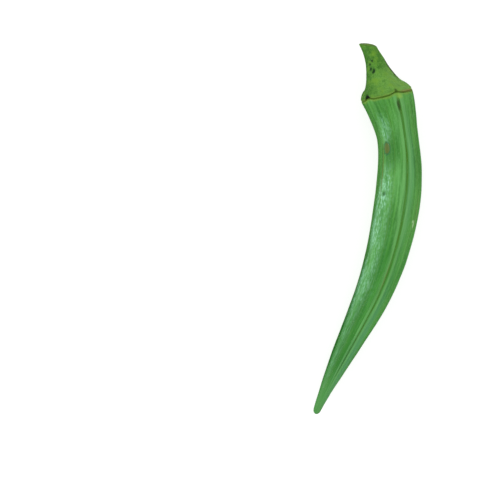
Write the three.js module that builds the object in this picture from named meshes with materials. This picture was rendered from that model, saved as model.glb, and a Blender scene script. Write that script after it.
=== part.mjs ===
// An okra pod as picked, lying on its side: a curved, five-ridged seed capsule, and the cut stem
// that flares into a cap on top of it. Millimetres, +Z up. The pod lies on z = 0 with its stem
// towards +Y and its tip bent towards -X.

import * as THREE from "three";
import { LoftGeometry } from "three/addons/geometries/LoftGeometry.js";

const { clamp, degToRad, lerp, smoothstep } = THREE.MathUtils;

// The spine, from just beyond the stem's cut to the tip. A knot is a place and a handle that points
// down the spine: the curve leaves along the handle and comes in along the same line.
const spineKnots = [
  { at: [-2.6, 67.2, 10.3], handle: [5.2, -6.8, -0.5] },
  { at: [6.2, 46.9, 8.8], handle: [4.4, -11.2, -0.3] },
  { at: [10.3, 11.4, 8.0], handle: [-1.5, -13.0, -0.4] },
  { at: [-0.3, -27.7, 5.7], handle: [-5.9, -12.5, -1.0] },
  { at: [-18.0, -65.5, 3.7], handle: [-5.0, -12.8, 0.0] },
];
const spine = curveThrough(spineKnots);
const spineLength = spine.getLength();
const seamPlace = spine.curves[0].getLength();
const capsuleLength = spineLength - seamPlace;

// The outlines, as [distance down the spine from the seam, radius at the ridges, flatness of the
// faces between them]. Flatness 0 is a round section and 1 a straight-sided pentagon. A knot also
// says how many rings lead to the next one.
const rimBevel = 0.35;
const tipBluntness = 1.5;
const capsuleKnots = [
  { at: [rimBevel, 9.15, 0.25], handle: [3.5, -0.1, 0.1], rings: 9 },
  { at: [15.5, 7.5, 0.6], handle: [5.0, -0.05, 0.02], rings: 9 },
  { at: [38.0, 8.45, 0.65], handle: [10.0, 0.0, 0.0], rings: 15 },
  { at: [76.0, 6.3, 0.6], handle: [9.0, -0.9, -0.03], rings: 12 },
  { at: [104.0, 3.0, 0.4], handle: [4.0, -0.55, -0.08], rings: 7 },
  { at: [capsuleLength - tipBluntness, 1.3, 0.15], handle: [0.8, -0.12, -0.03], rings: 5 },
  { at: [capsuleLength, 0.0, 0.0], handle: [0.0, -0.7, 0.0] },
];
const stubLength = 18.7;
const cutBevel = 0.4;
const capKnots = [
  { at: [cutBevel - stubLength, 2.45, 0.05], handle: [2.5, 0.1, 0.0], rings: 5 },
  { at: [-9.5, 4.1, 0.25], handle: [2.2, 0.75, 0.1], rings: 6 },
  { at: [-3.2, 7.15, 0.5], handle: [0.8, 1.0, 0.0], rings: 4 },
  { at: [-rimBevel, 9.1, 0.25], handle: [0.7, 0.2, -0.1] },
];

// The stem is cut askew: its right side and its top are shorter, as slopes across the stem.
const cut = { slopeSide: 0.7, slopeUp: 0.45, reach: 7.0 };

// The five ridges: where they stand round the capsule at the seam, in degrees from the +X side over
// the top, and how far they wind on the way to the tip.
const ridgeAngles = [3, 80, 145, 212, 286];
const ridgeWind = -3;

// The seam between cap and capsule is a fine groove. It lies a little askew, lower on its right
// side and its top, and it rises over each ridge.
const seam = {
  groove: 0.3,
  drop: 0.4,
  leanSide: 1.1,
  leanUp: 1.2,
  rise: 0.6,
  riseWidth: 12,
  reach: 9.0,
  radius: 9.0,
};

// Each ridge is a pair of low lips with a fine crease between them. Widths and offsets are degrees
// round the section, where two ridges stand 72 apart.
const halfFace = 36;
const ridgeRounding = 3;
const lip = { height: 0.18, offset: 8.5, width: 4.0 };
const crease = { depth: 0.3, width: 2.6 };
const creaseRun = { start: 2.0, full: 7.0, fade: 96.0, end: 112.0 };
const ringSteps = [0, 4, 8, 14, 22, 30, 36, 42, 50, 58, 64, 68];

function curveThrough(knots) {
  const chain = new THREE.CurvePath();
  for (let i = 1; i < knots.length; i += 1) {
    const start = new THREE.Vector3(...knots[i - 1].at);
    const end = new THREE.Vector3(...knots[i].at);
    const leave = start.clone().add(new THREE.Vector3(...knots[i - 1].handle));
    const arrive = end.clone().sub(new THREE.Vector3(...knots[i].handle));
    chain.add(new THREE.CubicBezierCurve3(start, leave, arrive, end));
  }
  return chain;
}

// One row for each ring of an outline: its station, its radius and its flatness
function rowsThrough(knots) {
  const rows = [new THREE.Vector3(...knots[0].at)];
  curveThrough(knots).curves.forEach((curve, i) => {
    rows.push(...curve.getPoints(knots[i].rings).slice(1));
  });
  return rows;
}

// The rows of an end face, from its middle out to just inside the edge
function faceRows(station, radius, flatness) {
  return [0, 0.5, 1].map((share) => new THREE.Vector3(station, radius * share, flatness));
}

function bump(offset, width) {
  return Math.exp(-((offset / width) ** 2));
}

// The radius of the skin at so many degrees from the nearest ridge
function skinRadius(station, radius, flatness, offset) {
  const rounded = Math.hypot(offset, ridgeRounding);
  const straight = Math.cos(degToRad(halfFace)) / Math.cos(degToRad(halfFace - rounded));
  const starting = smoothstep(station, creaseRun.start, creaseRun.full);
  const fading = 1 - smoothstep(station, creaseRun.fade, creaseRun.end);
  const raised = lip.height * bump(offset - lip.offset, lip.width);
  const sunk = crease.depth * bump(offset, crease.width);
  return radius * lerp(1, straight, flatness) + (raised - sunk) * starting * fading;
}

// How far a point is moved down the spine from the station of its ring
function stationShift(station, radius, angle, offset) {
  const nearSeam = 1 - smoothstep(Math.abs(station), 0, seam.reach);
  const lean = seam.drop + seam.leanSide * Math.cos(angle) + seam.leanUp * Math.sin(angle);
  const wave = lean - seam.rise * bump(offset, seam.riseWidth);
  const nearCut = 1 - smoothstep(station, -stubLength, cut.reach - stubLength);
  const slope = cut.slopeSide * Math.cos(angle) + cut.slopeUp * Math.sin(angle);
  return wave * nearSeam * Math.min(1, radius / seam.radius) + slope * radius * nearCut;
}

function skinPoint(row, ridge, step) {
  const [station, radius, flatness] = row.toArray();
  const next = ridge + 1 < ridgeAngles.length ? ridgeAngles[ridge + 1] : ridgeAngles[0] + 360;
  const turn = lerp(ridgeAngles[ridge], next, step / (2 * halfFace));
  const angle = degToRad(turn + ridgeWind * station / capsuleLength);
  const offset = Math.min(step, 2 * halfFace - step);
  const place = seamPlace + station + stationShift(station, radius, angle, offset);
  const share = clamp(place / spineLength, 0, 1);
  const along = spine.getTangentAt(share);
  const side = new THREE.Vector3(0, 0, 1).cross(along).normalize();
  const up = along.clone().cross(side);
  const reach = skinRadius(station, radius, flatness, offset);
  const point = spine.getPointAt(share);
  point.addScaledVector(side, reach * Math.cos(angle));
  point.addScaledVector(up, reach * Math.sin(angle));
  point.z = Math.max(point.z, 0); // the lowest ridge is pressed flat where the pod rests
  return point;
}

function ringOf(row) {
  return ridgeAngles.flatMap((_, ridge) => ringSteps.map((step) => skinPoint(row, ridge, step)));
}

function skin(rows) {
  return new LoftGeometry(rows.map(ringOf));
}

function capsuleGeometry() {
  const rows = rowsThrough(capsuleKnots);
  const seamFace = faceRows(seam.groove / 2, rows[0].y - rimBevel, rows[0].z);
  return skin([...seamFace, ...rows]);
}

function capGeometry() {
  const rows = rowsThrough(capKnots);
  const rim = rows[rows.length - 1];
  const cutFace = faceRows(-stubLength, rows[0].y - cutBevel, rows[0].z);
  const seamFace = faceRows(-seam.groove / 2, rim.y - rimBevel, rim.z).reverse();
  return skin([...cutFace, ...rows, ...seamFace]);
}

const capsuleSkin = new THREE.MeshStandardMaterial({ color: 0x4a9a3e, roughness: 0.45, metalness: 0 });
const stemSkin = new THREE.MeshStandardMaterial({ color: 0x5f9e40, roughness: 0.6, metalness: 0 });

const capsule = new THREE.Mesh(capsuleGeometry(), capsuleSkin);
capsule.name = "pod_body";
const cap = new THREE.Mesh(capGeometry(), stemSkin);
cap.name = "stem_cap";

// The origin is under the middle of the whole pod, on the plane that it lies on.
const group = new THREE.Group();
group.add(capsule, cap);
const middle = new THREE.Box3().setFromObject(group).getCenter(new THREE.Vector3());
group.position.set(-middle.x, -middle.y, 0);

export default group;
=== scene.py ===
import math

import bpy
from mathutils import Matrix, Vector


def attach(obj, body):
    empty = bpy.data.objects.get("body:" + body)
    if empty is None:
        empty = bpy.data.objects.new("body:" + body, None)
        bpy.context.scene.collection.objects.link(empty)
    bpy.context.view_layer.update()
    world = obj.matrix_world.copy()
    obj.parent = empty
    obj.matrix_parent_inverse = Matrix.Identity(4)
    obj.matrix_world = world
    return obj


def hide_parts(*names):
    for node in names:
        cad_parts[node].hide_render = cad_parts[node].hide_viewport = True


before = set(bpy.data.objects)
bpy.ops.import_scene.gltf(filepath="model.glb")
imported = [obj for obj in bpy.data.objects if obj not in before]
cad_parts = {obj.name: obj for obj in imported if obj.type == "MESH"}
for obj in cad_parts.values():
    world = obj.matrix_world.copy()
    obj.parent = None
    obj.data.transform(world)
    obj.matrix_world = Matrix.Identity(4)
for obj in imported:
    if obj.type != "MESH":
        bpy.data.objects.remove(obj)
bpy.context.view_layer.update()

mm = 0.001
camera = {  # mm, looking straight down
    "place": (-41.3, -7.1, 299.7), "lens": 60.0, "sensor": 36.0,
    "nearest": 10.0, "farthest": 10000.0,  # it sees what lies between these
}


def newCamera():
    data = bpy.data.cameras.new("overheadCamera")
    data.lens, data.sensor_width = camera["lens"], camera["sensor"]
    data.clip_start, data.clip_end = camera["nearest"] * mm, camera["farthest"] * mm
    holder = bpy.data.objects.new("overheadCamera", data)
    holder.location = Vector(camera["place"]) * mm
    bpy.context.scene.collection.objects.link(holder)
    bpy.context.scene.camera = holder


newCamera()
print("camera placed")

# Tools that every piece uses

smooth = {"interpolation_type": "SMOOTHSTEP"}  # for a range that eases in and out


def addNode(tree, kind, *sources, by=None, **settings):
    # sources fill the live inputs in order, by fills them by name; a node stands for its first live output
    node = tree.nodes.new(kind if "Node" in kind else "ShaderNode" + kind)
    for name, value in settings.items():
        setattr(node, name, value)
    live = [socket for socket in node.inputs if socket.enabled]
    named = {socket.name: socket for socket in reversed(live)}
    wanted = list(zip(live, sources)) + [(named[name], source) for name, source in (by or {}).items()]
    for socket, source in wanted:
        if isinstance(source, bpy.types.Node):
            source = next(out for out in source.outputs if out.enabled)
        if isinstance(source, bpy.types.NodeSocket):
            tree.links.new(source, socket)
        elif source is not None:
            socket.default_value = source
    return node


def setCurve(node, points):
    # straight lines through the points of a curve
    line = node.mapping.curves[0]
    while len(line.points) < len(points):
        line.points.new(0.5, 0.5)
    for point, place in zip(line.points, points):
        point.location = place
        point.handle_type = "VECTOR"
    node.mapping.update()
    return node


def setRamp(node, stops):
    # a stop is a place and a colour, or a place and a grey
    ramp = node.color_ramp
    while len(ramp.elements) < len(stops):
        ramp.elements.new(0.5)
    for element, (place, colour) in zip(ramp.elements, stops):
        element.position = place
        element.color = colour if isinstance(colour, tuple) else (colour, colour, colour, 1.0)
    return node


def colourOf(code):
    # an sRGB hex colour as linear light
    parts = [int(code[i:i + 2], 16) / 255 for i in (1, 3, 5)]
    linear = [part / 12.92 if part <= 0.04045 else ((part + 0.055) / 1.055) ** 2.4 for part in parts]
    return (*linear, 1.0)


def newTree(name, inputs):
    # an input starts at its number or vector, or is a plain socket of the kind that is named;
    # every tree takes and gives a geometry
    kinds = {int: "Int", float: "Float", tuple: "Vector"}
    tree = bpy.data.node_groups.new(name, "GeometryNodeTree")
    tree.interface.new_socket(name="Geometry", in_out="INPUT", socket_type="NodeSocketGeometry")
    tree.interface.new_socket(name="Geometry", in_out="OUTPUT", socket_type="NodeSocketGeometry")
    for label, value in inputs.items():
        kind = kinds.get(type(value), value)
        socket = tree.interface.new_socket(name=label, in_out="INPUT", socket_type="NodeSocket" + kind)
        if kind != value:
            socket.default_value = value
    return tree


def growMesh(name, tree, values):
    # runs a tree on an empty mesh and keeps what it makes as a plain mesh
    holder = bpy.data.objects.new(name + "_grow", bpy.data.meshes.new(name + "_grow"))
    bpy.context.scene.collection.objects.link(holder)
    grow = holder.modifiers.new("grow", "NODES")
    grow.node_group = tree
    for item in tree.interface.items_tree:
        if item.item_type == "SOCKET" and item.in_out == "INPUT" and item.name in values:
            grow[item.identifier] = values[item.name]
    bpy.context.view_layer.update()
    ready = holder.evaluated_get(bpy.context.evaluated_depsgraph_get())
    mesh = bpy.data.meshes.new_from_object(ready)
    mesh.name = name
    piece = bpy.data.objects.new(name, mesh)
    bpy.context.scene.collection.objects.link(piece)
    bpy.data.objects.remove(holder)
    triangles = sum(len(face.vertices) - 2 for face in mesh.polygons)
    print(name, "grown:", len(mesh.vertices), "points,", triangles, "triangles")
    return piece


def guideCurve(name, knots):
    # a helper curve through knots in mm; a knot without a handle is a corner
    data = bpy.data.curves.new(name, "CURVE")
    data.dimensions = "3D"
    data.resolution_u = 64
    line = data.splines.new("BEZIER")
    line.bezier_points.add(len(knots) - 1)
    for point, knot in zip(line.bezier_points, knots):
        at = Vector(knot["at"])
        leave = Vector(knot.get("handle", (0, 0, 0)))
        arrive = Vector(knot.get("arrive", leave))
        point.handle_left_type = point.handle_right_type = "FREE"
        point.co = at * mm
        point.handle_right = (at + leave) * mm
        point.handle_left = (at - arrive) * mm
    holder = bpy.data.objects.new(name, data)
    bpy.context.scene.collection.objects.link(holder)
    return holder


# The pod's own rule, shared by every piece on it

spineKnots = [  # from just beyond the stem's cut to the tip
    {"at": (-2.6, 67.2, 10.3), "handle": (5.2, -6.8, -0.5)},
    {"at": (6.2, 46.9, 8.8), "handle": (4.4, -11.2, -0.3)},
    {"at": (10.3, 11.4, 8.0), "handle": (-1.5, -13.0, -0.4)},
    {"at": (-0.3, -27.7, 5.7), "handle": (-5.9, -12.5, -1.0)},
    {"at": (-18.0, -65.5, 3.7), "handle": (-5.0, -12.8, 0.0)},
]
boxMiddle = Vector((0.037, -0.211, 0.0))  # the middle of the whole pod stands over the origin
for knot in spineKnots:
    knot["at"] = tuple(Vector(knot["at"]) - boxMiddle)


def lengthOf(knots):
    # adds up short straight steps along the smooth curve through the knots
    total, steps = 0.0, 200
    for first, last in zip(knots, knots[1:]):
        a, d = Vector(first["at"]), Vector(last["at"])
        b, c = a + Vector(first["handle"]), d - Vector(last["handle"])
        spots = []
        for step in range(steps + 1):
            t = step / steps
            spots.append(a * (1 - t) ** 3 + b * 3 * t * (1 - t) ** 2 + c * 3 * t * t * (1 - t) + d * t ** 3)
        for near, far in zip(spots, spots[1:]):
            total += (far - near).length
    return total


capsuleLength = lengthOf(spineKnots[1:])  # from the seam to the tip
sizes = {  # mm; the trees take these, the angles and the shares as inputs under these names
    "Seam Place": lengthOf(spineKnots[:2]),
    "Capsule Length": capsuleLength,
    "Stub Length": 18.7,
    "Lip Height": 0.18,
    "Crease Depth": 0.3,
    "Crease Start": 2.0,
    "Crease Full": 7.0,
    "Crease Fade": 96.0,
    "Crease End": 112.0,
    "Crest Height": 0.2,
    "Suture Depth": 0.07,
    "Seam Drop": 0.4,
    "Seam Lean Side": 1.1,
    "Seam Lean Up": 1.2,
    "Seam Rise": 0.6,
    "Seam Reach": 9.0,
    "Cut Reach": 7.0,
    "Cut Edge": 0.15,
    "Pole Reach": 1.5,
}
angles = {  # degrees round the pod
    "First Ridge": 3.0,
    "Ridge Wind": -3.0,
    "Ridge Rounding": 3.0,
    "Lip Offset": 8.5,
    "Lip Width": 4.0,
    "Crease Width": 2.6,
    "Crest Start": 14.0,
    "Suture Width": 1.3,
    "Seam Rise Width": 12.0,
}
shares = {"Ridge Crowding": 0.5, "Cut Slope Side": 0.7, "Cut Slope Up": 0.45}
treeSizes = {name: size * mm for name, size in sizes.items()} | angles | shares
ridgePlaces = [(0.0, 0.0), (0.2, 77 / 360), (0.4, 142 / 360), (0.6, 209 / 360), (0.8, 283 / 360), (1.0, 1.0)]
ridgeShares = [(0.0, 0.7), (0.2, 1.0), (0.4, 0.3), (0.6, 0.7), (0.8, 0.8), (1.0, 0.7)]  # how marked each is
halfFace = 36.0  # degrees from a ridge to the middle of a face
unitSize = 8.0  # mm of skin to one unit of the skin's own space
markScale = 14.0  # ragged bits to one unit round a mark, so about 0.6 mm each
cutFibre = 0.6  # mm, the thickness of the fibres that end on the cut face
weldReach = 0.0002  # mm, within which points are welded

spine = guideCurve("spineGuide", spineKnots)


def addHump(tree, offset, width, height):
    # as high as height in the middle, falling away over width
    share = addNode(tree, "Math", offset, width, operation="DIVIDE")
    square = addNode(tree, "Math", share, share, operation="MULTIPLY")
    square = addNode(tree, "Math", square, -1.0, operation="MULTIPLY")
    hump = addNode(tree, "Math", square, operation="EXPONENT")
    return addNode(tree, "Math", hump, height, operation="MULTIPLY")


def addTurn(tree, given, station, evenTurn):
    # the place round the pod: crowded towards the ridges, spread as the ridges are, wound towards the tip
    fiveTurns = 10 * math.pi
    swing = addNode(tree, "Math", evenTurn, fiveTurns, operation="MULTIPLY")
    swing = addNode(tree, "Math", swing, operation="SINE")
    pull = addNode(tree, "Math", swing, given["Ridge Crowding"], operation="MULTIPLY")
    turn = addNode(tree, "Math", pull, -1 / fiveTurns, evenTurn, operation="MULTIPLY_ADD")
    degrees = addNode(tree, "Math", turn, 360.0, operation="MULTIPLY")
    offset = addNode(tree, "Math", degrees, halfFace, operation="PINGPONG")
    share = setCurve(addNode(tree, "FloatCurve", 1.0, turn), ridgeShares)
    spread = setCurve(addNode(tree, "FloatCurve", 1.0, turn), ridgePlaces)
    placed = addNode(tree, "Math", spread, 360.0, given["First Ridge"], operation="MULTIPLY_ADD")
    along = addNode(tree, "Math", station, given["Capsule Length"], operation="DIVIDE")
    wound = addNode(tree, "Math", along, given["Ridge Wind"], placed, operation="MULTIPLY_ADD")
    angle = addNode(tree, "Math", wound, operation="RADIANS")
    cosine = addNode(tree, "Math", angle, operation="COSINE")
    sine = addNode(tree, "Math", angle, operation="SINE")
    lengthwise = addNode(tree, "Math", station, unitSize * mm, operation="DIVIDE")
    space = addNode(tree, "CombineXYZ", cosine, sine, lengthwise)
    found = {"degrees": degrees, "offset": offset, "share": share}
    return found | {"cosine": cosine, "sine": sine, "space": space}


def addReach(tree, given, station, radius, flatness, turn, relief):
    # how far the skin stands from the spine; relief sinks it
    rounded = addNode(tree, "Math", turn["offset"], 2.0, operation="POWER")
    rounding = addNode(tree, "Math", given["Ridge Rounding"], 2.0, operation="POWER")
    rounded = addNode(tree, "Math", rounded, rounding, operation="ADD")
    rounded = addNode(tree, "Math", rounded, operation="SQRT")
    fromMiddle = addNode(tree, "Math", halfFace, rounded, operation="SUBTRACT")
    fromMiddle = addNode(tree, "Math", fromMiddle, operation="RADIANS")
    fromMiddle = addNode(tree, "Math", fromMiddle, operation="COSINE")
    straight = addNode(tree, "Math", math.cos(math.radians(halfFace)), fromMiddle, operation="DIVIDE")
    faceShare = addNode(tree, "Mix", flatness, 1.0, straight)
    reach = addNode(tree, "Math", radius, faceShare, operation="MULTIPLY")

    start, full, fade, end = [given["Crease " + word] for word in ("Start", "Full", "Fade", "End")]
    starting = addNode(tree, "MapRange", station, start, full, 0.0, 1.0, **smooth)
    fading = addNode(tree, "MapRange", station, fade, end, 1.0, 0.0, **smooth)
    creased = addNode(tree, "Math", starting, fading, operation="MULTIPLY")
    fromLip = addNode(tree, "Math", turn["offset"], given["Lip Offset"], operation="SUBTRACT")
    raised = addHump(tree, fromLip, given["Lip Width"], given["Lip Height"])
    sunk = addHump(tree, turn["offset"], given["Crease Width"], given["Crease Depth"])
    lips = addNode(tree, "Math", raised, sunk, operation="SUBTRACT")
    lips = addNode(tree, "Math", lips, turn["share"], operation="MULTIPLY")
    # the middle of each face is a blunt crest with a hair-fine suture on it
    crest = addNode(tree, "MapRange", turn["offset"], given["Crest Start"], halfFace, 0.0,
                    given["Crest Height"])
    fromSuture = addNode(tree, "Math", turn["offset"], halfFace, operation="SUBTRACT")
    suture = addHump(tree, fromSuture, given["Suture Width"], given["Suture Depth"])
    lines = addNode(tree, "Math", lips, crest, operation="ADD")
    lines = addNode(tree, "Math", lines, suture, operation="SUBTRACT")
    reach = addNode(tree, "Math", lines, creased, reach, operation="MULTIPLY_ADD")
    fullRelief = addNode(tree, "MapRange", radius, 0.0, given["Pole Reach"], 0.0, 1.0)  # none at the poles
    sinking = addNode(tree, "Math", relief, fullRelief, operation="MULTIPLY")
    return addNode(tree, "Math", reach, sinking, operation="SUBTRACT")


def addShift(tree, given, station, radius, turn):
    # how far down the pod the skin is moved: the seam leans and rises over each ridge, and the cut is askew
    fromSeam = addNode(tree, "Math", station, operation="ABSOLUTE")
    nearSeam = addNode(tree, "MapRange", fromSeam, 0.0, given["Seam Reach"], 1.0, 0.0, **smooth)
    full = addNode(tree, "Math", radius, given["Seam Reach"], operation="DIVIDE")
    full = addNode(tree, "Math", full, 1.0, operation="MINIMUM")
    nearSeam = addNode(tree, "Math", nearSeam, full, operation="MULTIPLY")
    rise = addHump(tree, turn["offset"], given["Seam Rise Width"], given["Seam Rise"])
    lean = addNode(tree, "Math", turn["cosine"], given["Seam Lean Side"], given["Seam Drop"],
                   operation="MULTIPLY_ADD")
    lean = addNode(tree, "Math", turn["sine"], given["Seam Lean Up"], lean, operation="MULTIPLY_ADD")
    wave = addNode(tree, "Math", lean, rise, operation="SUBTRACT")
    cutStation = addNode(tree, "Math", given["Stub Length"], -1.0, operation="MULTIPLY")
    cutEnd = addNode(tree, "Math", given["Cut Reach"], given["Stub Length"], operation="SUBTRACT")
    nearCut = addNode(tree, "MapRange", station, cutStation, cutEnd, 1.0, 0.0, **smooth)
    slopeUp = addNode(tree, "Math", turn["sine"], given["Cut Slope Up"], operation="MULTIPLY")
    slope = addNode(tree, "Math", turn["cosine"], given["Cut Slope Side"], slopeUp, operation="MULTIPLY_ADD")
    slope = addNode(tree, "Math", slope, radius, operation="MULTIPLY")
    slope = addNode(tree, "Math", slope, nearCut, operation="MULTIPLY")
    return addNode(tree, "Math", wave, nearSeam, slope, operation="MULTIPLY_ADD")


def addPlace(tree, given, station, radius, flatness, turn, relief, push):
    # the skin's own place; relief sinks it and push moves it down the pod
    reach = addReach(tree, given, station, radius, flatness, turn, relief)
    shift = addNode(tree, "Math", addShift(tree, given, station, radius, turn), push, operation="ADD")
    place = addNode(tree, "Math", station, given["Seam Place"], operation="ADD")
    place = addNode(tree, "Math", place, shift, operation="ADD")
    spineLine = addNode(tree, "GeometryNodeObjectInfo", given["Spine"]).outputs["Geometry"]
    spot = addNode(tree, "GeometryNodeSampleCurve", by={"Curves": spineLine, "Length": place}, mode="LENGTH")
    side = addNode(tree, "VectorMath", (0, 0, 1), spot.outputs["Tangent"], operation="CROSS_PRODUCT")
    side = addNode(tree, "VectorMath", side, operation="NORMALIZE")
    up = addNode(tree, "VectorMath", spot.outputs["Tangent"], side, operation="CROSS_PRODUCT")
    aside = addNode(tree, "Math", reach, turn["cosine"], operation="MULTIPLY")
    above = addNode(tree, "Math", reach, turn["sine"], operation="MULTIPLY")
    at = addNode(tree, "VectorMath", side, aside, spot.outputs["Position"], operation="MULTIPLY_ADD")
    at = addNode(tree, "VectorMath", up, above, at, operation="MULTIPLY_ADD")
    return addNode(tree, "VectorMath", at, (-1, -1, 0), operation="MAXIMUM")  # pressed flat where it rests


plainMark = {"depth": 0.0, "taper": 0.0, "ragged": 1.0, "soft": 0.35, "strength": 1.0}
narrowest = 0.1  # a tapering mark keeps this share of its width


def skinMark(name, station, turn, long, wide, **more):
    # an uneven spot: mm down the pod from the seam, degrees where two ridges stand 72 apart, mm long and wide
    return {**plainMark, "name": name, "station": station, "turn": turn, "long": long, "wide": wide, **more}


def addMark(tree, given, station, radius, turn, mark):
    # its strength on the mark and 0 away from it; taper makes it wider or narrower down the pod
    down = addNode(tree, "Math", station, mark["station"] * mm, operation="SUBTRACT")
    down = addNode(tree, "Math", down, mark["long"] * mm, operation="DIVIDE")
    arc = addNode(tree, "Math", turn["degrees"], mark["turn"], operation="SUBTRACT")
    arc = addNode(tree, "Math", arc, 180.0, -180.0, operation="WRAP")
    arc = addNode(tree, "Math", arc, operation="RADIANS")
    arc = addNode(tree, "Math", arc, radius, operation="MULTIPLY")
    width = addNode(tree, "Math", down, mark["taper"], 1.0, operation="MULTIPLY_ADD")
    width = addNode(tree, "Math", width, narrowest, operation="MAXIMUM")
    width = addNode(tree, "Math", width, mark["wide"] * mm, operation="MULTIPLY")
    across = addNode(tree, "Math", arc, width, operation="DIVIDE")
    away = addNode(tree, "CombineXYZ", down, across, 0.0)
    away = addNode(tree, "VectorMath", away, operation="LENGTH").outputs["Value"]
    patch = addNode(tree, "TexNoise", turn["space"], given["Seed"], markScale, 2.0, noise_dimensions="4D")
    uneven = addNode(tree, "Math", patch, 0.5, operation="SUBTRACT")
    uneven = addNode(tree, "Math", uneven, mark["ragged"], away, operation="MULTIPLY_ADD")
    outer, inner = 1 + mark["soft"], 1 - mark["soft"]
    return addNode(tree, "MapRange", uneven, outer, inner, 0.0, mark["strength"], **smooth)


def addSheet(tree, rows, points):
    # a flat sheet, and how far each of its points lies across and along it, from 0 to 1
    sheet = addNode(tree, "GeometryNodeMeshGrid", 1.0, 1.0, rows, points)
    spot = addNode(tree, "GeometryNodeInputPosition")
    spot = addNode(tree, "VectorMath", spot, (0.5, 0.5, 0), operation="ADD")
    spot = addNode(tree, "SeparateXYZ", spot)
    return sheet, spot.outputs["X"], spot.outputs["Y"]


def addClosedSkin(tree, given, sheet, stored, place, flip):
    # keeps the stored values on the sheet, lays it in place and welds it to one closed, smooth skin
    skin = sheet
    for label, value in stored.items():
        kind = "FLOAT_VECTOR" if label == "okraSpace" else "FLOAT"
        skin = addNode(tree, "GeometryNodeStoreNamedAttribute", data_type=kind, domain="POINT", by={
            "Geometry": skin, "Name": label, "Value": value})
    skin = addNode(tree, "GeometryNodeSetPosition", by={"Geometry": skin, "Position": place})
    skin = addNode(tree, "GeometryNodeMergeByDistance", by={"Geometry": skin, "Distance": weldReach * mm})
    if flip:
        skin = addNode(tree, "GeometryNodeFlipFaces", skin)
    skin = addNode(tree, "GeometryNodeSetShadeSmooth", skin)
    skin = addNode(tree, "GeometryNodeRealizeInstances", skin)
    skin = addNode(tree, "GeometryNodeSetMaterial", by={"Geometry": skin, "Material": given["Material"]})
    addNode(tree, "NodeGroupOutput", skin)


def newSkinTree(name, piece):
    # a sheet of rings and points round them, laid on the pod's rule
    tree = newTree(name, {
        "Rings": piece["rings"], "Points Around": piece["around"], "Spine": "Object", "Outline": "Object",
        "Material": "Material", "Seed": 0.0, "Rib Depth": 0.0, "Swell Depth": 0.0, "Cut Roughness": 0.0,
        **treeSizes})
    given = addNode(tree, "NodeGroupInput").outputs
    sheet, row, evenTurn = addSheet(tree, given["Rings"], given["Points Around"])
    row = setCurve(addNode(tree, "FloatCurve", 1.0, row), piece["rowSpread"])
    outlineLine = addNode(tree, "GeometryNodeObjectInfo", given["Outline"]).outputs["Geometry"]
    line = addNode(tree, "GeometryNodeSampleCurve", by={"Curves": outlineLine, "Factor": row}, mode="FACTOR")
    line = addNode(tree, "SeparateXYZ", line.outputs["Position"])
    station, radius = line.outputs["X"], line.outputs["Y"]
    flatness = addNode(tree, "Math", line.outputs["Z"], 1 / mm, operation="MULTIPLY")
    turn = addTurn(tree, given, station, evenTurn)

    relief = 0.0
    for stretch, detail, depth in ((piece["ribs"], 2.0, "Rib Depth"), (piece["swells"], 1.0, "Swell Depth")):
        stretched = addNode(tree, "VectorMath", turn["space"], stretch, operation="MULTIPLY")
        waves = addNode(tree, "TexNoise", stretched, given["Seed"], 1.0, detail, noise_dimensions="4D")
        waves = addNode(tree, "Math", waves, 0.5, operation="SUBTRACT")
        relief = addNode(tree, "Math", waves, given[depth], relief, operation="MULTIPLY_ADD")
    masks = {}
    for mark in piece["marks"]:
        mask = addMark(tree, given, station, radius, turn, mark)
        relief = addNode(tree, "Math", mask, mark["depth"] * mm, relief, operation="MULTIPLY_ADD")
        if mark["name"] in masks:
            mask = addNode(tree, "Math", masks[mark["name"]], mask, operation="MAXIMUM")
        masks[mark["name"]] = mask

    # the fibres end unevenly on the cut face
    cutStation = addNode(tree, "Math", given["Stub Length"], -1.0, operation="MULTIPLY")
    cutEdge = addNode(tree, "Math", cutStation, given["Cut Edge"], operation="ADD")
    cutFace = addNode(tree, "MapRange", station, cutStation, cutEdge, 1.0, 0.0, **smooth)
    flatSpot = addNode(tree, "CombineXYZ", turn["cosine"], turn["sine"], 0.0)
    flatSpot = addNode(tree, "VectorMath", flatSpot, radius, operation="MULTIPLY")
    fibres = addNode(tree, "TexNoise", flatSpot, given["Seed"], 1 / (cutFibre * mm), 2.0,
                     noise_dimensions="4D")
    push = addNode(tree, "Math", fibres, given["Cut Roughness"], operation="MULTIPLY")
    push = addNode(tree, "Math", push, cutFace, operation="MULTIPLY")

    place = addPlace(tree, given, station, radius, flatness, turn, relief, push)
    downPod = addNode(tree, "Math", station, 1 / mm, operation="MULTIPLY")
    fromCentre = addNode(tree, "Math", radius, 1 / mm, operation="MULTIPLY")
    stored = {"okraSpace": turn["space"], "ridgeOffset": turn["offset"], "ridgeShare": turn["share"],
              "downPod": downPod, "cutFace": cutFace, "fromCentre": fromCentre, **masks}
    addClosedSkin(tree, given, sheet, stored, place, flip=True)
    return tree


# The capsule's skin

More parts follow.
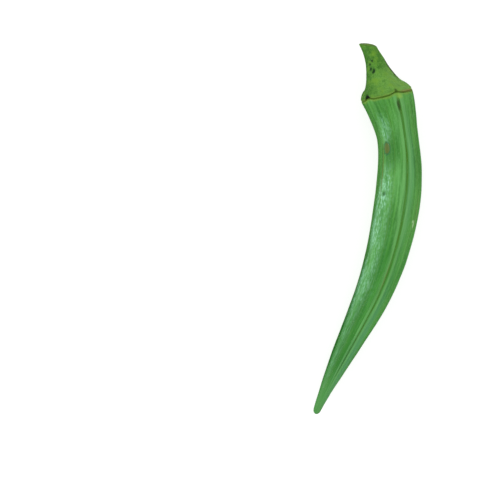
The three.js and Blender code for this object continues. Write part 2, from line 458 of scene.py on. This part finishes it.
pod = {
    "rings": 300, "around": 280, "seed": 4.0,
    "outline": [  # distance down the spine from the seam, radius at the ridges, flatness of the faces
        {"at": (0.15, 0.0, 0.25)},
        {"at": (0.15, 8.8, 0.25)},
        {"at": (0.35, 9.15, 0.25), "arrive": (0, 0, 0), "handle": (3.5, -0.1, 0.1)},
        {"at": (15.5, 7.5, 0.6), "handle": (5.0, -0.05, 0.02)},
        {"at": (38.0, 8.45, 0.65), "handle": (10.0, 0.0, 0.0)},
        {"at": (76.0, 6.3, 0.6), "handle": (9.0, -0.9, -0.03)},
        {"at": (104.0, 3.0, 0.4), "handle": (4.0, -0.55, -0.08)},
        {"at": (capsuleLength - 1.5, 1.3, 0.15), "handle": (0.8, -0.12, -0.03)},
        {"at": (capsuleLength, 0.0, 0.0), "handle": (0.0, -0.7, 0.0)},
    ],
    "rowSpread": [(0.0, 0.0), (0.02, 0.062), (0.06, 0.075), (0.95, 0.975), (1.0, 1.0)],
    "ribDepth": 0.06, "swellDepth": 0.25, "cutRoughness": 0.0,  # mm
    "ribs": (9.0, 9.0, 0.45), "swells": (1.6, 1.6, 1.1),  # how many to one unit, round the pod and down it
    "marks": [
        skinMark("bruise", 19.4, 132, 2.2, 1.25, depth=0.04, soft=0.5),
        skinMark("pit", 36.0, 134.5, 0.8, 0.62, depth=0.12, soft=0.6),
        skinMark("nick", 44.9, 30, 1.2, 0.4, depth=0.1, ragged=1.6),
        skinMark("nick", 43.9, 35, 0.45, 0.28, depth=0.1),
        skinMark("thread", 40.5, 24, 5.5, 0.2, depth=0.02, soft=0.8),
        skinMark("thread", 64.0, 76, 6.0, 0.2, depth=0.02, soft=0.9, strength=0.6),
        skinMark("thread", 27.0, 145, 9.0, 0.16, depth=0.02, soft=0.9),
        skinMark("notch", 4.9, 74, 2.2, 0.62, depth=0.25, soft=0.7),
        skinMark("notch", 4.6, 216, 1.3, 0.3, depth=0.25, soft=0.6),
        skinMark("notch", 4.2, 288, 1.2, 0.35, depth=0.3, soft=0.6),
        # bloom marks: a waxy bloom with a painted sheen, laid along the face that turns to the sheen light
        skinMark("bloom", 12.5, 132, 5.0, 2.0, soft=0.8, ragged=1.8, strength=0.8),
        skinMark("bloom", 36.0, 134, 9.0, 2.1, soft=0.6, ragged=1.6),
        skinMark("bloom", 45.0, 148, 12.0, 2.9, soft=0.5, ragged=1.5),
        skinMark("bloom", 71.0, 151, 12.0, 2.8, soft=0.5, ragged=1.5, strength=0.85),
        skinMark("bloom", 88.0, 139, 17.0, 1.1, soft=0.7, ragged=1.2, strength=0.8),
        skinMark("bloom", 54.0, 128, 27.0, 3.2, soft=0.6, strength=0.4),
        skinMark("bloom", 86.0, 136, 24.0, 2.0, soft=0.6, strength=0.35),
        # deep marks: darker patches, mostly painted shade on the half of a face turned from the sheen light
        # and on the lower left flank, which lie in shadow
        skinMark("deep", 4.0, 123, 4.5, 3.0, soft=0.7, strength=0.5),
        skinMark("deep", 21.5, 118, 5.5, 2.6, soft=0.8, ragged=1.5),
        skinMark("deep", 44.0, 102, 9.0, 0.6, soft=0.8, strength=0.8),
        skinMark("deep", 60.0, 104, 14.0, 1.4, soft=0.8, strength=0.9),
        skinMark("deep", 90.0, 109, 28.0, 1.8, soft=0.6, ragged=0.8),
        skinMark("deep", 94.0, 154, 20.0, 2.8, soft=0.5, ragged=0.8, strength=0.6),
        skinMark("deep", 68.0, 82.5, 10.0, 0.5, soft=0.8, ragged=0.8, strength=0.8),
        skinMark("deep", 98.0, 84, 10.0, 1.2, soft=0.7, ragged=0.8, strength=0.5),
        skinMark("deep", 100.0, 173, 30.0, 2.3, soft=0.5, ragged=0.5),
        skinMark("pale", 15.0, 91, 7.0, 1.0, soft=0.8, ragged=1.6),
        skinMark("pale", 30.0, 97, 9.0, 1.4, soft=0.8, ragged=2.0),
        skinMark("pale", 36.0, 87, 12.0, 0.9, soft=0.8, ragged=1.6),
        skinMark("cool", 30.0, 61, 20.0, 1.5, soft=0.8, ragged=1.2, strength=0.6),
        skinMark("cool", 93.0, 57, 25.0, 1.8, soft=0.6, ragged=0.8, strength=0.7),
        skinMark("blush", 1.5, 67, 0.8, 0.9, soft=0.9),
    ],
}


def newMaterial(name, *labels):
    # an empty material, its nodes, and what it reads from the mesh
    material = bpy.data.materials.new(name)
    material.use_nodes = True
    tree = material.node_tree
    tree.nodes.clear()
    read = {}
    for label in labels:
        found = addNode(tree, "Attribute", attribute_name=label)
        read[label] = found.outputs["Vector" if label == "okraSpace" else "Fac"]
    return material, tree, read


def layOver(tree, look, colour, layers):
    # lays colours over a colour, the lowest first; a layer says how much of it shows, and which it is
    for share, name in layers:
        colour = addNode(tree, "Mix", share, colour, colourOf(look[name]), data_type="RGBA")
    return colour


def finishMaterial(tree, look, colour, rough, grains=None, **more):
    # lays the look's bumps over each other, and joins it all in one surface
    bump = None
    for name, strength, depth in look.get("bumps", []):
        bump = addNode(tree, "Bump", by={
            "Height": grains[name], "Strength": strength, "Distance": depth * mm, "Normal": bump})
    shader = addNode(tree, "BsdfPrincipled", by={
        "Base Color": colour, "Roughness": rough, "Specular IOR Level": look["gloss"], "Normal": bump,
        **more})
    addNode(tree, "OutputMaterial", by={"Surface": shader})


# Fresh okra skin, grown: a thin waxy skin over pale fibres that run down the pod. It gives a soft, broken
# sheen on what turns to the light, fine lengthwise streaks, and pale lips beside each dull green crease.
# Some of the sheen is painted into the colour as a painted highlight, and the flanks and dark patches carry
# painted shade.
podLook = {
    "deep": "#2a6c1e", "fresh": "#60aa4a", "down": "#60a65a", "lower": "#2a8832", "leftFlankShade": "#1a5614",
    "rightFlankShade": "#2c7420", "underBloomAndSheen": "#3c8a3c", "bloom": "#9ad8b2", "cool": "#5a9c76", "pale": "#70b868",
    "lip": "#6cae62", "darkPatchAndShade": "#20681a", "crease": "#447a20", "suture": "#5d8a3e", "tip": "#569a50",
    "seamEdge": "#749c38", "bruiseRim": "#28683c", "bruise": "#5e6c2a", "blush": "#86b444",
    "thread": "#6f7c42", "pit": "#286028", "notch": "#2a4412", "nick": "#b4d8a0",
    # mm across, how many times as long as wide, and detail
    "grains": {"fibres": (0.6, 20, 2.0), "bands": (1.5, 22, 1.0), "tufts": (0.38, 6.0, 3.0),
               "specks": (0.7, 1.6, 2.0), "blotches": (3.2, 4, 2.0)},
    "grainSize": 0.3,  # mm
    "streakShare": 0.4, "bandShare": 0.36, "patchShare": 0.24,  # these three mix deep with fresh
    "downShare": 0.36, "lowerShare": 0.27, "underBloomAndSheenShare": 0.5, "bloomAndSheenShare": 0.86, "coolShare": 0.55,
    "lipShare": 0.75, "darkPatchAndShadeShare": 0.6, "sutureShare": 0.5, "tipShare": 0.55, "seamEdgeShare": 0.7,
    "bruiseShare": 0.8, "markShare": 0.85,
    # painted shade: the flanks are painted a deeper green where they turn away from the light, more so
    # further down the pod
    "shadedFlanks": [  # colour, the way it faces, mm down the pod where it deepens, its share before that
        ("leftFlankShade", (-1.0, 0.0, 0.0), (40.0, 75.0), 0.3),
        ("rightFlankShade", (0.96, -0.28, 0.0), (10.0, 50.0), 0.35)],
    "flankShadeShare": 0.85, "flankShadeEdge": (0.84, 0.97),
    "tipPales": (98.0, 116.0),  # mm down the pod
    "creaseEdge": (1.2, 4.8), "sutureEdge": (34.4, 35.6), "downyFace": (13.0, 26.0),  # degrees from a ridge
    "roughness": 0.34, "gloss": 0.15,
    "bumps": [("fibres", 0.35, 0.06), ("tufts", 0.35, 0.05), ("grain", 0.2, 0.03)],  # strength, mm
}


def podSkinMaterial():
    look = podLook
    material, tree, read = newMaterial(
        "freshOkraSkin", "okraSpace", "ridgeOffset", "ridgeShare", "downPod", "bruise", "pit", "nick",
        "thread", "notch", "blush", "bloom", "deep", "pale", "cool")
    space, offset, downPod = read["okraSpace"], read["ridgeOffset"], read["downPod"]
    solid = addNode(tree, "TexCoord").outputs["Object"]
    alongPod = addNode(tree, "MapRange", downPod, 0.0, 120.0, 0.0, 1.0)
    acrossFace = addNode(tree, "MapRange", offset, 0.0, halfFace, 0.0, 1.0)

    # the noise of each grain lies mostly between 0.35 and 0.65
    grains = {"grain": addNode(tree, "TexNoise", solid, 1 / (look["grainSize"] * mm), 2.0)}
    for name, (across, slimness, detail) in look["grains"].items():
        step = unitSize / across
        stretched = addNode(tree, "VectorMath", space, (step, step, step / slimness), operation="MULTIPLY")
        grains[name] = addNode(tree, "TexNoise", stretched, 1.0, detail)
    fibres, tufts, specks, blotches = [grains[name] for name in ("fibres", "tufts", "specks", "blotches")]

    streak = addNode(tree, "MapRange", fibres, 0.38, 0.62, 0.0, look["streakShare"])
    band = addNode(tree, "MapRange", grains["bands"], 0.34, 0.66, 0.0, look["bandShare"])
    patch = addNode(tree, "MapRange", blotches, 0.34, 0.66, 0.0, look["patchShare"])
    share = addNode(tree, "Math", streak, band, operation="ADD")
    share = addNode(tree, "Math", share, patch, operation="ADD")
    layers = [(share, "fresh")]  # what lies over the deep green, the lowest first

    # fine down lies on the faces in specks
    onFace = addNode(tree, "MapRange", offset, *look["downyFace"], 0.3, 1.0, **smooth)
    downy = addNode(tree, "MapRange", specks, 0.46, 0.64, 0.0, look["downShare"])
    layers.append((addNode(tree, "Math", onFace, downy, operation="MULTIPLY"), "down"))

    # the lower half is a cleaner green, and the flanks get a deeper green than the top as painted shade
    stops = [(0.36, 0.0), (0.5, look["lowerShare"]), (0.8, look["lowerShare"]), (0.9, 0.0)]
    layers.append((setRamp(addNode(tree, "ValToRGB", alongPod), stops), "lower"))
    for name, toSide, deepens, least in look["shadedFlanks"]:
        most = addNode(tree, "MapRange", downPod, *deepens, least, look["flankShadeShare"])
        sideways = addNode(tree, "VectorMath", space, toSide, operation="DOT_PRODUCT").outputs["Value"]
        side = addNode(tree, "MapRange", sideways, *look["flankShadeEdge"], 0.0, most, **smooth)
        layers.append((side, name))

    # a whitish bloom of wax and down lies along one face, thin and broken, painted together with the sheen of
    # the light on it as a painted highlight
    under = addNode(tree, "Math", read["bloom"], look["underBloomAndSheenShare"], operation="MULTIPLY")
    layers.append((under, "underBloomAndSheen"))
    bloom = read["bloom"]
    for grain, start, end, least, most in ((tufts, 0.4, 0.6, 0.1, look["bloomAndSheenShare"]),
                                           (specks, 0.38, 0.58, 0.45, 1.25),
                                           (blotches, 0.38, 0.58, 0.55, 1.0)):
        broken = addNode(tree, "MapRange", grain, start, end, least, most)
        bloom = addNode(tree, "Math", bloom, broken, operation="MULTIPLY")
    layers.append((bloom, "bloom"))
    layers.append((addNode(tree, "Math", read["cool"], look["coolShare"], operation="MULTIPLY"), "cool"))
    pale = addNode(tree, "MapRange", fibres, 0.38, 0.62, 0.25, 0.6)
    layers.append((addNode(tree, "Math", read["pale"], pale, operation="MULTIPLY"), "pale"))

    # pale lips and a dull crease on each ridge, strongest on the most marked one
    stops = [(0.06, 0.0), (0.15, look["lipShare"]), (0.26, look["lipShare"]), (0.4, 0.0)]
    lips = setRamp(addNode(tree, "ValToRGB", acrossFace), stops)
    streaky = addNode(tree, "MapRange", fibres, 0.3, 0.65, 0.5, 1.0)
    lips = addNode(tree, "Math", lips, streaky, operation="MULTIPLY")
    layers.append((addNode(tree, "Math", lips, read["ridgeShare"], operation="MULTIPLY"), "lip"))
    # painted shade and darker patches, from the deep marks
    layers.append((addNode(tree, "Math", read["deep"], look["darkPatchAndShadeShare"], operation="MULTIPLY"), "darkPatchAndShade"))
    stops = [(0.015, 0.0), (0.05, 1.0), (0.75, 1.0), (0.94, 0.0)]
    ends = setRamp(addNode(tree, "ValToRGB", alongPod), stops)
    crease = addNode(tree, "MapRange", offset, *look["creaseEdge"], 1.0, 0.0, **smooth)
    crease = addNode(tree, "Math", crease, read["ridgeShare"], operation="MULTIPLY")
    crease = addNode(tree, "Math", crease, ends, operation="MULTIPLY")
    uneven = addNode(tree, "Math", tufts, blotches, operation="ADD")
    uneven = addNode(tree, "MapRange", uneven, 0.8, 1.15, 0.45, 1.0)
    layers.append((addNode(tree, "Math", crease, uneven, operation="MULTIPLY"), "crease"))
    suture = addNode(tree, "MapRange", offset, *look["sutureEdge"], 0.0, look["sutureShare"], **smooth)
    layers.append((addNode(tree, "Math", suture, ends, operation="MULTIPLY"), "suture"))

    tip = addNode(tree, "MapRange", downPod, *look["tipPales"], 0.0, look["tipShare"], **smooth)
    layers.append((tip, "tip"))
    seamEdge = addNode(tree, "Math", blotches, 2.2, downPod, operation="MULTIPLY_ADD")
    seamEdge = addNode(tree, "MapRange", seamEdge, 1.5, 2.5, look["seamEdgeShare"], 0.0, **smooth)
    layers.append((seamEdge, "seamEdge"))
    for name, start, end in (("bruiseRim", 0.05, 0.4), ("bruise", 0.45, 0.85)):
        layers.append((addNode(tree, "MapRange", read["bruise"], start, end, 0.0, look["bruiseShare"]), name))
    for name in ("blush", "thread", "pit", "notch", "nick"):
        layers.append((addNode(tree, "Math", read[name], look["markShare"], operation="MULTIPLY"), name))
    colour = layOver(tree, look, colourOf(look["deep"]), layers)
    rough = addNode(tree, "MapRange", tufts, 0.35, 0.65, look["roughness"] + 0.12, look["roughness"] - 0.02)
    finishMaterial(tree, look, colour, rough, grains)
    return material


# Okra stem and cap, grown: a matt, finely ribbed rind, yellower than the pod, with black scars where
# leaves and sepals dropped. The cut end has dried to an olive brown round a paler pith.
capLook = {
    "deep": "#2f6618", "fresh": "#528c2c", "pale": "#74a84c", "olive": "#6c9a2c", "seamEdge": "#6c9038",
    "rust": "#8c7048", "edge": "#2c3812", "dot": "#0c300e", "faint": "#3c5a16", "scar": "#101c08",
    "pith": "#6f9440", "wood": "#567c2c", "rind": "#3f6a22", "stain": "#4c5420",
    "cutRings": [(0.0, "pith"), (0.45, "pith"), (0.6, "wood"), (0.8, "wood"), (0.92, "rind")],
    "cutRadius": 2.45, "ribGap": 0.9, "blotchSize": 1.3, "oliveSize": 2.6, "grainSize": 0.35,  # mm
    "ribSlimness": 8,  # how many times as long as wide
    "flarePales": (-12.0, -4.0),  # mm down the pod from the seam
    "streakShare": 0.5, "patchShare": 0.5,  # these two mix deep with fresh
    "paleFlareAndHighlightShare": 0.75, "leftShadeShare": 0.6, "oliveShare": 0.6, "darkShare": 0.4, "seamEdgeShare": 0.85,
    "markShares": {"rust": 0.45, "edge": 0.9, "dot": 1.0, "faint": 0.9, "scar": 1.0}, "stainShare": 0.7,
    "roughness": 0.5, "gloss": 0.12,
    "bumps": [("ribs", 0.35, 0.1), ("grain", 0.3, 0.05)],  # strength, mm
}


def capSkinMaterial():
    look = capLook
    material, tree, read = newMaterial(
        "okraStemRind", "okraSpace", "downPod", "fromCentre", "cutFace", "scar", "faint", "dot", "edge",
        "rust")
    space, downPod = read["okraSpace"], read["downPod"]
    solid = addNode(tree, "TexCoord").outputs["Object"]
    toRight = addNode(tree, "SeparateXYZ", space).outputs["X"]

    step = unitSize / look["ribGap"]
    ribs = addNode(tree, "VectorMath", space, (step, step, step / look["ribSlimness"]), operation="MULTIPLY")
    ribs = addNode(tree, "TexNoise", ribs, 1.0, 3.0)
    blotches = addNode(tree, "TexNoise", solid, 1 / (look["blotchSize"] * mm), 3.0)
    broad = addNode(tree, "TexNoise", solid, 1 / (look["oliveSize"] * mm), 2.0)
    grain = addNode(tree, "TexNoise", solid, 1 / (look["grainSize"] * mm), 2.0)

    streak = addNode(tree, "MapRange", ribs, 0.36, 0.64, 0.0, look["streakShare"])
    patch = addNode(tree, "MapRange", blotches, 0.36, 0.64, 0.0, look["patchShare"])
    share = addNode(tree, "Math", streak, patch, operation="ADD")
    # the flare is paler than the stem, and paler still on its right, where a painted highlight stands in for
    # the light falling there
    flareAndHighlight = addNode(tree, "MapRange", downPod, *look["flarePales"], 0.1, look["paleFlareAndHighlightShare"], **smooth)
    flareAndHighlight = addNode(tree, "Math", flareAndHighlight, addNode(tree, "MapRange", toRight, -0.8, 0.6, 0.3, 1.0),
                    operation="MULTIPLY")
    paler = addNode(tree, "MapRange", grain, 0.4, 0.62, -0.12, 0.3)
    paler = addNode(tree, "Math", paler, flareAndHighlight, operation="ADD")
    seamEdge = addNode(tree, "Math", blotches, -1.6, downPod, operation="MULTIPLY_ADD")
    seamEdge = addNode(tree, "MapRange", seamEdge, -1.75, -1.0, 0.0, look["seamEdgeShare"], **smooth)
    layers = [  # what lies over the deep green, the lowest first
        (share, "fresh"),
        (paler, "pale"),
        # painted shade: the stem and cap are darker on their left side
        (addNode(tree, "MapRange", toRight, -0.65, -1.0, 0.0, look["leftShadeShare"]), "deep"),
        (addNode(tree, "MapRange", broad, 0.5, 0.68, 0.0, look["oliveShare"]), "olive"),
        (addNode(tree, "MapRange", broad, 0.46, 0.3, 0.0, look["darkShare"]), "deep"),
        (seamEdge, "seamEdge"),
    ]
    for name, share in look["markShares"].items():
        layers.append((addNode(tree, "Math", read[name], share, operation="MULTIPLY"), name))
    colour = layOver(tree, look, colourOf(look["deep"]), layers)

    rings = addNode(tree, "MapRange", read["fromCentre"], 0.0, look["cutRadius"], 0.0, 1.0)
    rings = setRamp(addNode(tree, "ValToRGB", rings),
                    [(place, colourOf(look[name])) for place, name in look["cutRings"]])
    stain = addNode(tree, "MapRange", grain, 0.45, 0.7, 0.0, look["stainShare"])
    face = layOver(tree, look, rings, [(stain, "stain")])
    colour = addNode(tree, "Mix", read["cutFace"], colour, face, data_type="RGBA")

    rough = addNode(tree, "MapRange", blotches, 0.3, 0.7, look["roughness"] - 0.08, look["roughness"] + 0.12)
    finishMaterial(tree, look, colour, rough, {"ribs": ribs, "grain": grain})
    return material


def growSkin(name, piece, material, node):
    outline = guideCurve(name + "Outline", piece["outline"])
    values = {"Spine": spine, "Outline": outline, "Material": material, "Seed": piece["seed"],
              "Rib Depth": piece["ribDepth"] * mm, "Swell Depth": piece["swellDepth"] * mm,
              "Cut Roughness": piece["cutRoughness"] * mm}
    grown = growMesh(name, newSkinTree(name + "Tree", piece), values)
    bpy.data.objects.remove(outline)
    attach(grown, "root")
    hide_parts(node)
    return grown


podSkin = growSkin("pod_skin", pod, podSkinMaterial(), "pod_body")

# The stem and the cap that it flares into

cap = {
    "rings": 240, "around": 260, "seed": 9.0,
    "outline": [
        {"at": (-18.7, 0.0, 0.05)},
        {"at": (-18.7, 2.05, 0.05)},
        {"at": (-18.3, 2.45, 0.05), "arrive": (0, 0, 0), "handle": (2.5, 0.1, 0.0)},
        {"at": (-9.5, 4.1, 0.25), "handle": (2.2, 0.75, 0.1)},
        {"at": (-3.2, 7.15, 0.5), "handle": (0.8, 1.0, 0.0)},
        {"at": (-0.35, 9.1, 0.25), "arrive": (0.7, 0.2, -0.1), "handle": (0, 0, 0)},
        {"at": (-0.15, 8.75, 0.25)},
        {"at": (-0.15, 0.0, 0.25)},
    ],
    "rowSpread": [(0.0, 0.0), (0.12, 0.071), (0.17, 0.09), (0.9, 0.71), (0.96, 0.735), (1.0, 1.0)],
    "ribDepth": 0.08, "swellDepth": 0.15, "cutRoughness": 0.35,  # mm
    "ribs": (5.0, 5.0, 0.5), "swells": (1.5, 1.5, 1.0),  # how many to one unit, round the stem and down it
    "marks": [
        skinMark("scar", -0.7, 148, 0.85, 1.35, depth=0.2, taper=0.5),
        skinMark("faint", -0.6, 70, 0.6, 0.5, depth=0.15, taper=0.3, soft=0.6),
        skinMark("scar", -1.0, 216, 0.8, 0.8, depth=0.15, taper=0.7),
        skinMark("scar", -1.0, 288, 0.6, 0.5, depth=0.15, taper=0.7),
        skinMark("scar", -0.9, 357, 0.5, 0.4, depth=0.15, taper=0.7),
        skinMark("dot", -12.45, 112.8, 0.5, 0.34, depth=0.05, soft=0.6),
        skinMark("dot", -11.5, 132.2, 0.4, 0.3, depth=0.05, soft=0.6),
        skinMark("dot", -9.8, 130.8, 0.6, 0.42, depth=0.06, soft=0.6),
        skinMark("dot", -8.9, 114.8, 0.75, 0.5, depth=0.06, soft=0.6),
        skinMark("dot", -8.5, 121.6, 0.5, 0.42, depth=0.05, soft=0.6),
        skinMark("edge", -8.0, 14, 3.6, 1.1, depth=0.05, soft=0.3),
        skinMark("rust", -0.4, 42, 0.35, 3.2, depth=0.02, soft=0.5),
    ],
}

stemCap = growSkin("cap_skin", cap, capSkinMaterial(), "stem_cap")

# The seam: a thin, uneven ring of olive cork in the groove between the cap and the capsule

seamRing = {
    "around": 480, "section": 10, "seed": 5.0,
    "radius": 8.74, "halfWidth": 0.11, "halfHeight": 0.3, "raggedness": 0.1,  # mm
    "flatness": 0.25, "lumps": (14.0, 14.0, 1.0),  # how many to one unit, round the pod and down it
    "lumpLevel": 0.55,  # higher lumps stand out and lower ones sink in
}
ringLook = {
    "cork": "#76a03a", "dark": "#4e7820", "rust": "#a2965a", "rustShare": 0.5,
    "roughness": 0.85, "gloss": 0.1, "bumps": [("lumps", 0.5, 0.1)],  # strength, mm
}


def newRingTree():
    # a sheet rolled round its section and laid round the pod in the groove
    tree = newTree("seamRingTree", {
        "Around": seamRing["around"], "Section": seamRing["section"], "Spine": "Object",
        "Material": "Material", "Seed": 0.0, "Ring Radius": 0.0, "Half Width": 0.0, "Half Height": 0.0,
        "Raggedness": 0.0, **treeSizes})
    given = addNode(tree, "NodeGroupInput").outputs
    sheet, roll, evenTurn = addSheet(tree, given["Section"], given["Around"])
    roll = addNode(tree, "Math", roll, 2 * math.pi, operation="MULTIPLY")
    turn = addTurn(tree, given, 0.0, evenTurn)
    across = addNode(tree, "Math", roll, operation="COSINE")
    outward = addNode(tree, "Math", roll, operation="SINE")
    section = addNode(tree, "CombineXYZ", 0.0, 0.0, across)
    lumpSpace = addNode(tree, "VectorMath", turn["space"], seamRing["lumps"], section,
                        operation="MULTIPLY_ADD")
    lumps = addNode(tree, "TexNoise", lumpSpace, given["Seed"], 1.0, 3.0, noise_dimensions="4D")
    station = addNode(tree, "Math", across, given["Half Width"], operation="MULTIPLY")
    radius = addNode(tree, "Math", outward, given["Half Height"], given["Ring Radius"],
                     operation="MULTIPLY_ADD")
    lumpy = addNode(tree, "Math", lumps, seamRing["lumpLevel"], operation="SUBTRACT")
    depth = addNode(tree, "Math", given["Raggedness"], -2.0, operation="MULTIPLY")
    relief = addNode(tree, "Math", lumpy, depth, operation="MULTIPLY")
    place = addPlace(tree, given, station, radius, seamRing["flatness"], turn, relief, 0.0)
    addClosedSkin(tree, given, sheet, {"okraSpace": turn["space"], "lumps": lumps}, place, flip=False)
    return tree


def corkMaterial():
    # cork, grown where the flower's parts fell off: dry and matt, olive green, redder on the right
    look = ringLook
    material, tree, read = newMaterial("driedSeamCork", "okraSpace", "lumps")
    share = addNode(tree, "MapRange", read["lumps"], 0.35, 0.65, 0.0, 1.0)
    toRight = addNode(tree, "SeparateXYZ", read["okraSpace"])
    rusty = addNode(tree, "MapRange", toRight, 0.35, 0.8, 0.0, look["rustShare"])
    colour = layOver(tree, look, colourOf(look["dark"]), [(share, "cork"), (rusty, "rust")])
    finishMaterial(tree, look, colour, look["roughness"], read)
    return material


def growRing():
    values = {"Spine": spine, "Material": corkMaterial(), "Seed": seamRing["seed"],
              "Ring Radius": seamRing["radius"] * mm, "Half Width": seamRing["halfWidth"] * mm,
              "Half Height": seamRing["halfHeight"] * mm, "Raggedness": seamRing["raggedness"] * mm}
    ring = growMesh("seam_ring", newRingTree(), values)
    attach(ring, "root")


growRing()

bpy.data.objects.remove(spine)

# Fine hairs, set at random over the skin and lying towards the tip

podHairs = {
    "seed": 3, "perSquareMm": 2.4, "length": 0.34, "thickness": 0.014, "lowest": 0.6,  # mm
    "lean": (-0.25, -1.0, 0.0),
}
capHairs = {
    "seed": 8, "perSquareMm": 1.6, "length": 0.4, "thickness": 0.015, "lowest": 0.6,  # mm
    "lean": (0.2, -0.8, 0.0),
}
hairShape = {"sides": 3, "scatter": 0.4, "shortest": 0.4, "lengthSeed": 7}  # shortest as a share
hairLook = {"tone": "#b9d3a2", "roughness": 0.5, "gloss": 0.3}


def newHairTree():
    tree = newTree("hairTree", {
        "Skin": "Object", "Material": "Material", "Seed": 0, "Density": 0.0, "Length": 0.0, "Thickness": 0.0,
        "Lean": (0.0, 0.0, 0.0), "Lowest": 0.0})
    given = addNode(tree, "NodeGroupInput").outputs
    skin = addNode(tree, "GeometryNodeObjectInfo", given["Skin"]).outputs["Geometry"]
    height = addNode(tree, "SeparateXYZ", addNode(tree, "GeometryNodeInputPosition")).outputs["Z"]
    clear = addNode(tree, "FunctionNodeCompare", height, given["Lowest"], operation="GREATER_THAN")
    roots = addNode(tree, "GeometryNodeDistributePointsOnFaces", by={
        "Mesh": skin, "Selection": clear, "Density": given["Density"], "Seed": given["Seed"]})
    apart = hairShape["scatter"]
    scatter = addNode(tree, "FunctionNodeRandomValue", (-apart,) * 3, (apart,) * 3, data_type="FLOAT_VECTOR")
    growing = addNode(tree, "VectorMath", roots.outputs["Normal"], given["Lean"], operation="ADD")
    growing = addNode(tree, "VectorMath", growing, scatter, operation="ADD")
    turned = addNode(tree, "FunctionNodeAlignRotationToVector", by={"Vector": growing}, axis="Z")
    grown = addNode(tree, "FunctionNodeRandomValue", by={"Seed": hairShape["lengthSeed"]}, data_type="FLOAT")
    grown = addNode(tree, "MapRange", grown, 0.0, 1.0, hairShape["shortest"], 1.0)
    hair = addNode(tree, "GeometryNodeMeshCone", by={
        "Vertices": hairShape["sides"], "Radius Top": 0.0, "Radius Bottom": given["Thickness"],
        "Depth": given["Length"]})
    hairs = addNode(tree, "GeometryNodeInstanceOnPoints", by={
        "Points": roots.outputs["Points"], "Instance": hair.outputs["Mesh"], "Rotation": turned,
        "Scale": grown})
    hairs = addNode(tree, "GeometryNodeRealizeInstances", hairs)
    hairs = addNode(tree, "GeometryNodeSetMaterial", by={"Geometry": hairs, "Material": given["Material"]})
    addNode(tree, "NodeGroupOutput", hairs)
    return tree


def hairMaterial():
    # plant hair, grown: thin, dry and nearly colourless, so that it only softens the green under it
    material, tree, _ = newMaterial("paleDown")
    finishMaterial(tree, hairLook, colourOf(hairLook["tone"]), hairLook["roughness"])
    return material


def growHairs(name, hairs, skin, tree, material):
    values = {"Skin": skin, "Material": material, "Seed": hairs["seed"],
              "Density": hairs["perSquareMm"] / mm ** 2, "Length": hairs["length"] * mm,
              "Thickness": hairs["thickness"] * mm, "Lean": hairs["lean"], "Lowest": hairs["lowest"] * mm}
    grown = growMesh(name, tree, values)
    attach(grown, "root")


hairTree = newHairTree()
hairSkin = hairMaterial()
growHairs("pod_hairs", podHairs, podSkin, hairTree, hairSkin)
growHairs("cap_hairs", capHairs, stemCap, hairTree, hairSkin)

# Floor and light

table = {"reach": 6.0, "level": -0.02, "glow": 0.75}  # the reach in metres, the level in mm
tableLook = {
    "dark": "#9e9e9e", "light": "#a4a4a4",
    "grainSize": 0.8,  # mm
    "roughness": 0.8, "gloss": 0.2}
room = {"bright": 0.8, "dark": 0.05, "darkens": (-0.5, -0.1)}  # dark only well below level
strips = [  # degrees from straight overhead, towards -X where negative; metres and watts
    {"name": "sheenStrip", "lean": -58.0, "size": (0.06, 0.25), "away": 0.5, "power": 0.7},
    {"name": "fillStrip", "lean": 42.0, "size": (0.1, 0.3), "away": 0.5, "power": 0.3},
]


def tableMaterial():
    # opal glass over a lamp, cast and ground matt: an even white glow that leaves almost no shadow
    look = tableLook
    material, tree, _ = newMaterial("litOpalGlass")
    solid = addNode(tree, "TexCoord").outputs["Object"]
    grain = addNode(tree, "TexNoise", solid, 1 / (look["grainSize"] * mm), 2.0)
    colour = layOver(tree, look, colourOf(look["dark"]), [(grain, "light")])
    glow = {"Emission Color": (1, 1, 1, 1), "Emission Strength": table["glow"]}
    finishMaterial(tree, look, colour, look["roughness"], **glow)
    return material


def newTable():
    reach, level = table["reach"], table["level"] * mm
    mesh = bpy.data.meshes.new("lightTable")
    corners = [(-reach, -reach, level), (reach, -reach, level), (reach, reach, level), (-reach, reach, level)]
    mesh.from_pydata(corners, [], [(0, 1, 2, 3)])
    mesh.materials.append(tableMaterial())
    top = bpy.data.objects.new("lightTable", mesh)
    top.visible_glossy = False  # its glare isn't mirrored in the pod's flanks
    bpy.context.scene.collection.objects.link(top)


def newStrip(strip):
    data = bpy.data.lights.new(strip["name"], "AREA")
    data.shape = "RECTANGLE"
    data.size, data.size_y = strip["size"]
    data.energy = strip["power"]
    holder = bpy.data.objects.new(strip["name"], data)
    lean = math.radians(strip["lean"])
    holder.location = (strip["away"] * math.sin(lean), 0.0, strip["away"] * math.cos(lean))
    holder.rotation_euler = (0, lean, 0)
    bpy.context.scene.collection.objects.link(holder)


newTable()
for strip in strips:
    newStrip(strip)


def newRoom():
    # an even pale room that is dark only below the table
    world = bpy.data.worlds.new("paleRoom")
    world.use_nodes = True
    tree = world.node_tree
    tree.nodes.clear()
    height = addNode(tree, "SeparateXYZ", addNode(tree, "TexCoord")).outputs["Z"]
    light = addNode(tree, "MapRange", height, *room["darkens"], room["dark"], room["bright"])
    addNode(tree, "OutputWorld", addNode(tree, "Background", (1, 1, 1, 1), light))
    bpy.context.scene.world = world


newRoom()

bpy.context.scene.view_settings.view_transform = "Standard"
bpy.context.scene.view_settings.look = "None"
print("floor and light set")
